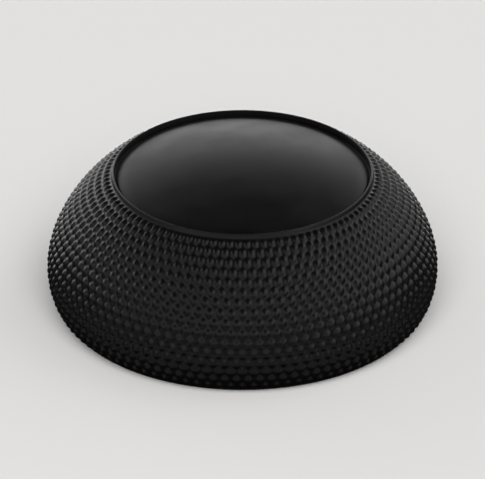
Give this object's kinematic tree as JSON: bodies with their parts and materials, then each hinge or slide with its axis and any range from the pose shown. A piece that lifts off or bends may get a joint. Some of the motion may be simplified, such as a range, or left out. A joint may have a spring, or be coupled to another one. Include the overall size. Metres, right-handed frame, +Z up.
{
  "type": "controller thumb grip",
  "caption": "Domed silicone cap that snaps over a stick head to raise it and give the thumb a textured grip.",
  "frame": {"origin": "centre of the flat seat ring that the grip stands on", "axes": "+Z up along the grip's own axis, out of the domed crown; the socket opens along -Z"},
  "size_m": [0.0202, 0.0202, 0.0082],
  "materials": {
    "silicone": "moulded silicone rubber, satin dome and matt textured skirt"
  },
  "bodies": {
    "root": {"thumb_grip": "silicone"}
  },
  "joints": []
}
